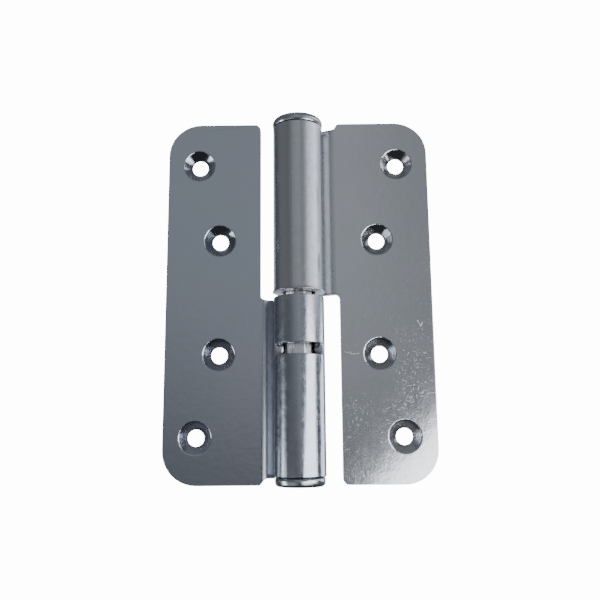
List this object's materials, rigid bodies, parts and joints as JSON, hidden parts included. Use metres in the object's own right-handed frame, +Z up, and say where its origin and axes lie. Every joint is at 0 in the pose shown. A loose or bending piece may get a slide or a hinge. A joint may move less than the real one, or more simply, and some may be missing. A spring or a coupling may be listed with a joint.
{
  "type": "rising butt hinge",
  "caption": "Lift-off butt hinge of folded sheet steel with a rolled knuckle on each leaf; an inner cam raises the door leaf as it swings.",
  "frame": {"origin": "on the pin's axis at half the height of the leaves, which is the middle of the box with the hinge open flat", "axes": "+Z up along the pin, -Y towards the side with the countersinks and the knuckles' bulge, -X towards the frame leaf and +X towards the door leaf"},
  "size_m": [0.08, 0.0156, 0.11],
  "materials": {
    "zinc_plate": "bright zinc plate on rolled sheet, finely scratched",
    "bright_steel": "bright drawn steel",
    "button_plate": "polished zinc plate on turned steel",
    "sleeve_plastic": "natural acetal",
    "cam_steel": "plain hardened steel, greased"
  },
  "bodies": {
    "frame": {"frame_leaf": "zinc_plate", "cam_seat": "cam_steel", "bottom_button": "button_plate"},
    "sleeve": {"bearing_sleeve": "sleeve_plastic"},
    "follower": {"cam_follower": "cam_steel"},
    "door": {"door_leaf": "zinc_plate", "hinge_pin": "bright_steel", "top_button": "button_plate"}
  },
  "joints": [
    {"name": "swing", "type": "hinge", "parent": "frame", "child": "sleeve", "pos_m": [0, 0, 0], "axis": [0, 0, -1], "range_deg": [0, 90]},
    {"name": "rise", "type": "slide", "parent": "sleeve", "child": "follower", "axis": [0, 0, 1], "range_m": [0, 0.006]},
    {"name": "lift_off", "type": "slide", "parent": "follower", "child": "door", "axis": [0, 0, 1], "range_m": [0, 0.035]}
  ],
  "couplings": [
    {"joint": "rise", "follows": "swing", "m_per_rad": 0.0038197}
  ]
}
